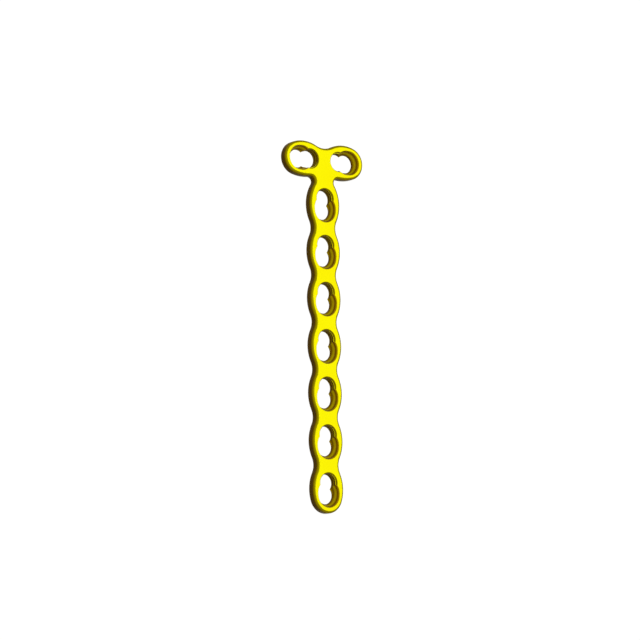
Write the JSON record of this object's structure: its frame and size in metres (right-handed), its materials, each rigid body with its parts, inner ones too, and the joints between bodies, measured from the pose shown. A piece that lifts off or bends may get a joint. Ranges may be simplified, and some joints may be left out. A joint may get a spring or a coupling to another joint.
{
  "type": "orthopedic bone plate",
  "caption": "T-shaped bone plate with a waisted shaft and combination screw holes, in gold-yellow anodised titanium.",
  "frame": {"origin": "on the flat bone side, where the row of head holes crosses the centreline of the shaft", "axes": "+Y along the shaft towards the head, +X across the plate, +Z out of the bone side towards the screw-head side"},
  "size_m": [0.0258, 0.1018, 0.0025],
  "materials": {
    "anodised_titanium": "satin, gold-yellow anodised"
  },
  "bodies": {
    "root": {"bone_plate": "anodised_titanium"}
  },
  "joints": []
}
